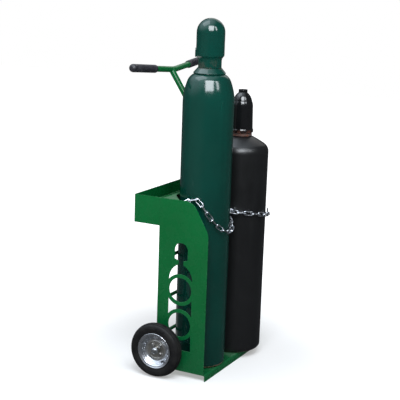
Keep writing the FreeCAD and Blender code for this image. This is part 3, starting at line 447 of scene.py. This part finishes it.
def panel_welds():
    """Long fillets inside the panels' feet, and stitches where the tray meets the panels."""
    bm = bmesh.new()
    deck_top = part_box("base_plate")[1].z
    tray_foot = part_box("tool_tray")[0].z
    for name, side in (("left_side_panel", 1), ("right_side_panel", -1)):
        low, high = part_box(name)
        inner = high.x if side > 0 else low.x
        start = Vector((inner + side * 0.8 * MM, low.y + 12 * MM, deck_top + 0.8 * MM))
        for stitch in range(4):
            first = start + Y * stitch * 50 * MM
            weld_bead(bm, line(first, first + Y * 26 * MM), lambda p, s=side: X * s + Z, 2.0 * MM)
        for stitch in range(3):
            first = Vector((inner + side * 0.8 * MM, high.y - 0.8 * MM, tray_foot + (8 + 34 * stitch) * MM))
            weld_bead(bm, line(first, first + Z * 20 * MM), lambda p, s=side: X * s - Y, 1.4 * MM)
    new_piece("panel_welds", bm, "frame_paint", "cart")


rung_welds()
mast_welds()
panel_welds()


# ---------------------------------------------------------------- turned pieces

def turned(bm, origin, along, profile, segments=96):
    """Revolves a closed profile of (distance along, radius) points about an axis."""
    side = along.orthogonal().normalized()
    up = along.cross(side)
    rings = []
    for reach, radius in profile:
        turns = [2 * math.pi * i / segments for i in range(segments)]
        rings.append([bm.verts.new(origin + along * reach + (side * math.cos(t) + up * math.sin(t)) * radius)
                      for t in turns])
    join_rings(bm, rings, True)


def long_axis(node_name):
    """Middle, direction and length of a straight node, from its own mesh."""
    points = [v.co.copy() for v in frame["nodes"][node_name].data.vertices]
    low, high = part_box(node_name)
    middle = (low + high) / 2
    along = X.copy()
    for _ in range(30):
        moved = Vector((0, 0, 0))
        for point in points:
            moved += (point - middle) * (point - middle).dot(along)
        along = moved.normalized()
    reaches = [(p - middle).dot(along) for p in points]
    low_end, high_end = min(reaches), max(reaches)
    sums, count = Vector((0, 0, 0)), 0
    for point, reach in zip(points, reaches):
        if high_end - 14 * MM > reach > low_end + 4 * MM:
            sums += point
            count += 1
    spot = sums / count if count else middle
    foot = spot - along * (spot - middle).dot(along)
    return foot + along * (low_end + high_end) / 2, along, high_end - low_end


GRIP_BORE = 11.15 * MM
GRIP_RADIUS = 14.9 * MM
GRIP_DOME = 12 * MM
GRIP_RINGS = 15
# One finger ring: (share of its pitch, depth below the sleeve's outside in mm).
FINGER_RING = ((0.0, 0.0), (0.12, 0.25), (0.24, 0.9), (0.5, 1.05), (0.76, 0.9), (0.88, 0.25))


def ribbed_grip(name, outward):
    """Rubber sleeve with finger rings between two plain collars and a domed closed end."""
    middle, along, length = long_axis(name)
    if along.dot(outward) < 0:
        along = -along
    profile = [(0.0, GRIP_BORE), (0.0, GRIP_RADIUS - 1.4 * MM), (1.2 * MM, GRIP_RADIUS - 0.2 * MM),
               (7 * MM, GRIP_RADIUS)]
    first, last = 10 * MM, length - 22 * MM
    pitch = (last - first) / GRIP_RINGS
    for i in range(GRIP_RINGS):
        profile += [(first + (i + share) * pitch, GRIP_RADIUS - drop * MM) for share, drop in FINGER_RING]
    profile += [(last, GRIP_RADIUS), (length - GRIP_DOME - 0.5 * MM, GRIP_RADIUS)]
    for step in range(1, 9):
        t = math.pi / 2 * step / 8
        profile.append((length - GRIP_DOME * (1 - math.sin(t)), GRIP_RADIUS - GRIP_DOME * (1 - math.cos(t))))
    profile += [(length, 0.4 * MM), (length - 4 * MM, 0.4 * MM), (length - 4 * MM, GRIP_BORE)]
    bm = bmesh.new()
    turned(bm, middle - along * length / 2, along, profile, 64)
    piece = new_piece(name + "_ribbed", bm, "grip_rubber", "cart", 50.0)
    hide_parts(name)


# Outer wall of the tyre from tread shoulder to bead: (distance from mid-plane, radius) in mm.
TYRE_WALL = [
    (19.0, 95.5), (19.9, 94.4), (20.2, 93.2), (20.9, 92.4), (21.6, 91.0), (22.2, 88.6), (22.5, 86.7),
    (22.85, 86.4), (22.85, 85.5), (22.5, 85.2), (22.4, 82.0), (22.0, 79.6), (22.2, 79.2), (22.1, 78.4),
    (21.5, 78.1), (20.0, 73.0), (18.2, 68.6), (17.3, 67.0), (17.3, 66.0), (16.8, 65.4), (15.6, 62.4),
    (14.5, 60.0)]
TYRE_INSIDE = [(9.5, 60.0), (12.6, 67.5), (16.0, 77.0), (14.5, 90.5)]
TREAD_GROOVES = (-13.0, -6.6, 0.0, 6.6, 13.0)
GROOVE_HALF_WIDTH = 0.85
GROOVE_DEPTH = 1.9
TREAD_RADIUS = 101.6
TREAD_STEPS = 76


def ribbed_tyre(side, outward):
    """Small pneumatic tyre: grooved tread, a shoulder step and moulded rings on the wall."""
    low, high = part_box(side + "_tyre")
    shoulder_x, shoulder_radius = TYRE_WALL[0]
    crown = (TREAD_RADIUS - shoulder_radius) / shoulder_x ** 2
    tread = []
    for i in range(1, TREAD_STEPS):
        x = shoulder_x * (2 * i / TREAD_STEPS - 1)
        share = max(max(0.0, 1.0 - ((x - g) / GROOVE_HALF_WIDTH) ** 4) for g in TREAD_GROOVES)
        tread.append((x, TREAD_RADIUS - crown * x * x - GROOVE_DEPTH * share))
    profile = [(-x, r) for x, r in TYRE_WALL] + [(-x, r) for x, r in TYRE_INSIDE] + [(0.0, 95.6)]
    profile += [(x, r) for x, r in reversed(TYRE_WALL + TYRE_INSIDE)] + tread[::-1]
    bm = bmesh.new()
    turned(bm, (low + high) / 2, outward, [(x * MM, r * MM) for x, r in profile], 144)
    piece = new_piece(side + "_tyre_moulded", bm, "tyre_rubber", side + "_wheel", 28.0)
    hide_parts(side + "_tyre")


# Outer face of the pressed rim, then its back: (distance from its disc's back, radius) in mm.
RIM_FACE = [
    (1.6, 13.0), (1.6, 30.0), (1.9, 31.0), (2.7, 31.9), (3.0, 33.2), (2.7, 34.5), (1.9, 35.4), (1.6, 36.6),
    (1.7, 39.6), (2.2, 41.8), (3.4, 43.9), (5.2, 45.4), (7.0, 46.1), (8.2, 46.9), (8.7, 48.4), (9.6, 49.8),
    (11.6, 50.6), (13.2, 51.4), (14.2, 52.8), (14.8, 54.8), (16.4, 56.4), (17.6, 57.8), (18.2, 60.0),
    (18.6, 62.6), (19.6, 63.8), (20.2, 65.0), (20.0, 66.2), (19.0, 66.9), (17.9, 66.6), (17.3, 65.6)]
RIM_BACK = [
    (17.0, 62.6), (16.6, 59.6), (15.2, 57.6), (13.4, 55.8), (12.8, 53.6), (11.0, 52.2), (8.6, 51.2),
    (7.4, 49.2), (6.6, 47.8), (4.4, 47.0), (2.4, 45.0), (1.0, 42.6), (0.1, 39.6), (0.0, 36.6), (0.0, 13.0)]


def stepped_rim(side, outward):
    """Pressed outer half of the rim with its raised ring, steps and rolled lip."""
    low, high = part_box(side + "_outer_rim")
    origin = (low + high) / 2
    origin.x = low.x if outward.x > 0 else high.x
    bm = bmesh.new()
    turned(bm, origin, outward, [(x * MM, r * MM) for x, r in RIM_FACE + RIM_BACK], 144)
    piece = new_piece(side + "_rim_pressed", bm, "rim_zinc", side + "_wheel", 60.0)
    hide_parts(side + "_outer_rim")


for side_name, away in (("left", -X), ("right", X)):
    ribbed_grip(side_name + "_grip", away)
    ribbed_tyre(side_name, away)
    stepped_rim(side_name, away)


# ---------------------------------------------------------------- floor, light and camera

MIDDLE = (cad_box[0] + cad_box[1]) / 2

# The camera's heading from +Y towards +X, its pitch and its roll, in radians.
YAW, PITCH, ROLL = 1.0994, -0.2135, 0.0347
CAMERA_PLACE = Vector((-3.5123, -1.7654, 1.4709))
CAMERA_LENS = 95.78
FORWARD = Vector((math.sin(YAW) * math.cos(PITCH), math.cos(YAW) * math.cos(PITCH), math.sin(PITCH)))
FROM_CAMERA = math.degrees(math.atan2(CAMERA_PLACE.y, CAMERA_PLACE.x))

WHITE = rgb(1.0, 1.0, 1.0)
ROOM_STRENGTH = 0.07
FILL_STRENGTH = 0.30

# Soft bright parts of the room that polished surfaces reflect: the direction towards each, the
# likeness to it where it begins and where it is full, its strength and its colour.
GLOWS = (
    ((math.sin(YAW), math.cos(YAW), 0.15), 0.70, 0.98, 0.07, WHITE),
    ((0.40, 0.65, -0.65), 0.90, 0.98, 0.90, WHITE),
    ((-0.87, 0.44, -0.21), 0.70, 0.98, 0.13, WHITE),
    ((-0.20, 0.42, 0.88), 0.45, 0.95, 1.50, rgb(0.80, 0.90, 1.0)),
)

# Area lights: name, degrees round from the camera and up, distance, width, height, watts, colour.
LAMPS = (
    ("window_wide", 2, 45, 2.6, 1.5, 1.5, 92, (0.90, 0.95, 1.0)),
    ("window_narrow", 44, 42, 2.6, 0.4, 1.1, 15, (0.90, 0.95, 1.0)),
    ("overhead", 270, 66, 3.0, 1.8, 1.8, 26, (0.86, 0.92, 1.0)),
    ("backlight", 165, 40, 3.2, 2.0, 2.0, 10, (1.0, 1.0, 1.0)),
)


def studio_floor():
    """Pale matt floor, which glows more further out so that it runs into the white behind."""
    bm = bmesh.new()
    bmesh.ops.create_grid(bm, x_segments=1, y_segments=1, size=9.0)
    mesh = bpy.data.meshes.new("studio_floor")
    bm.to_mesh(mesh)
    bm.free()
    floor = bpy.data.objects.new("studio_floor", mesh)
    floor.location.z = -0.0005
    bpy.context.scene.collection.objects.link(floor)
    n = Nodes("studio_floor")
    tone = n.mix(n.noise(1.5, 2.0), rgb(0.50, 0.50, 0.505), rgb(0.53, 0.53, 0.53))
    away = n.add("VectorMath", {"operation": "DISTANCE"}, {0: n.place, 1: Vector((MIDDLE.x, MIDDLE.y, 0))})
    n.plug(n.shader.inputs["Emission Strength"], n.span(away.outputs["Value"], 0.30, 1.1, 0.36, 1.0))
    floor.data.materials.append(n.finish(tone, None, None, {
        "Specular IOR Level": 0.0, "Emission Color": WHITE}))
    floor.visible_glossy = False


def studio_world():
    """White to the camera, a dim room with bright parts to reflections, and an even fill else."""
    world = bpy.data.worlds.new("studio")
    bpy.context.scene.world = world
    world.use_nodes = True
    tree = world.node_tree
    tree.nodes.clear()

    def add(kind, **settings):
        node = tree.nodes.new("ShaderNode" + kind)
        for key, value in settings.items():
            setattr(node, key, value)
        return node

    def glow(strength, colour):
        node = add("Background")
        node.inputs["Color"].default_value = colour
        node.inputs["Strength"].default_value = strength
        return node.outputs[0]

    coords = add("TexCoord")
    room = glow(ROOM_STRENGTH, rgb(0.85, 0.92, 1.0))
    for toward, begin, full, strength, colour in GLOWS:
        likeness = add("VectorMath", operation="DOT_PRODUCT")
        tree.links.new(coords.outputs["Generated"], likeness.inputs[0])
        likeness.inputs[1].default_value = Vector(toward).normalized()
        reach = add("MapRange", interpolation_type="SMOOTHSTEP")
        tree.links.new(likeness.outputs["Value"], reach.inputs["Value"])
        reach.inputs["From Min"].default_value = begin
        reach.inputs["From Max"].default_value = full
        blend = add("MixShader")
        tree.links.new(reach.outputs["Result"], blend.inputs[0])
        tree.links.new(room, blend.inputs[1])
        tree.links.new(glow(strength, colour), blend.inputs[2])
        room = blend.outputs[0]
    rays = add("LightPath")
    fill = add("MixShader")
    tree.links.new(rays.outputs["Is Diffuse Ray"], fill.inputs[0])
    tree.links.new(room, fill.inputs[1])
    tree.links.new(glow(FILL_STRENGTH, rgb(0.96, 0.98, 1.0)), fill.inputs[2])
    seen = add("MixShader")
    tree.links.new(rays.outputs["Is Camera Ray"], seen.inputs[0])
    tree.links.new(fill.outputs[0], seen.inputs[1])
    tree.links.new(glow(1.0, WHITE), seen.inputs[2])
    output = add("OutputWorld")
    tree.links.new(seen.outputs[0], output.inputs[0])


def softbox(name, turn, elevation, distance, width, height, power, colour):
    """An area light aimed at the object's middle. Turn is in degrees round from the camera."""
    lamp = bpy.data.lights.new(name, "AREA")
    lamp.shape = "RECTANGLE"
    lamp.size = width
    lamp.size_y = height
    lamp.energy = power
    lamp.color = colour
    around, up = math.radians(FROM_CAMERA + turn), math.radians(elevation)
    away = Vector((math.cos(around) * math.cos(up), math.sin(around) * math.cos(up), math.sin(up)))
    obj = bpy.data.objects.new(name, lamp)
    obj.location = MIDDLE + away * distance
    obj.rotation_euler = away.to_track_quat("Z", "Y").to_euler()
    bpy.context.scene.collection.objects.link(obj)


def photo_camera():
    """Looks along FORWARD from CAMERA_PLACE, rolled a little about its own axis."""
    lens = bpy.data.cameras.new("camera")
    lens.lens = CAMERA_LENS
    lens.clip_end = 60.0
    camera = bpy.data.objects.new("camera", lens)
    level = Vector((math.cos(YAW), -math.sin(YAW), 0))
    upright = level.cross(FORWARD)
    right = level * math.cos(ROLL) + upright * math.sin(ROLL)
    up = upright * math.cos(ROLL) - level * math.sin(ROLL)
    camera.matrix_world = Matrix((
        (right.x, up.x, -FORWARD.x, CAMERA_PLACE.x),
        (right.y, up.y, -FORWARD.y, CAMERA_PLACE.y),
        (right.z, up.z, -FORWARD.z, CAMERA_PLACE.z),
        (0, 0, 0, 1)))
    bpy.context.scene.collection.objects.link(camera)
    bpy.context.scene.camera = camera


studio_floor()
studio_world()
for lamp_settings in LAMPS:
    softbox(*lamp_settings)
photo_camera()
bpy.context.scene.view_settings.view_transform = "Standard"
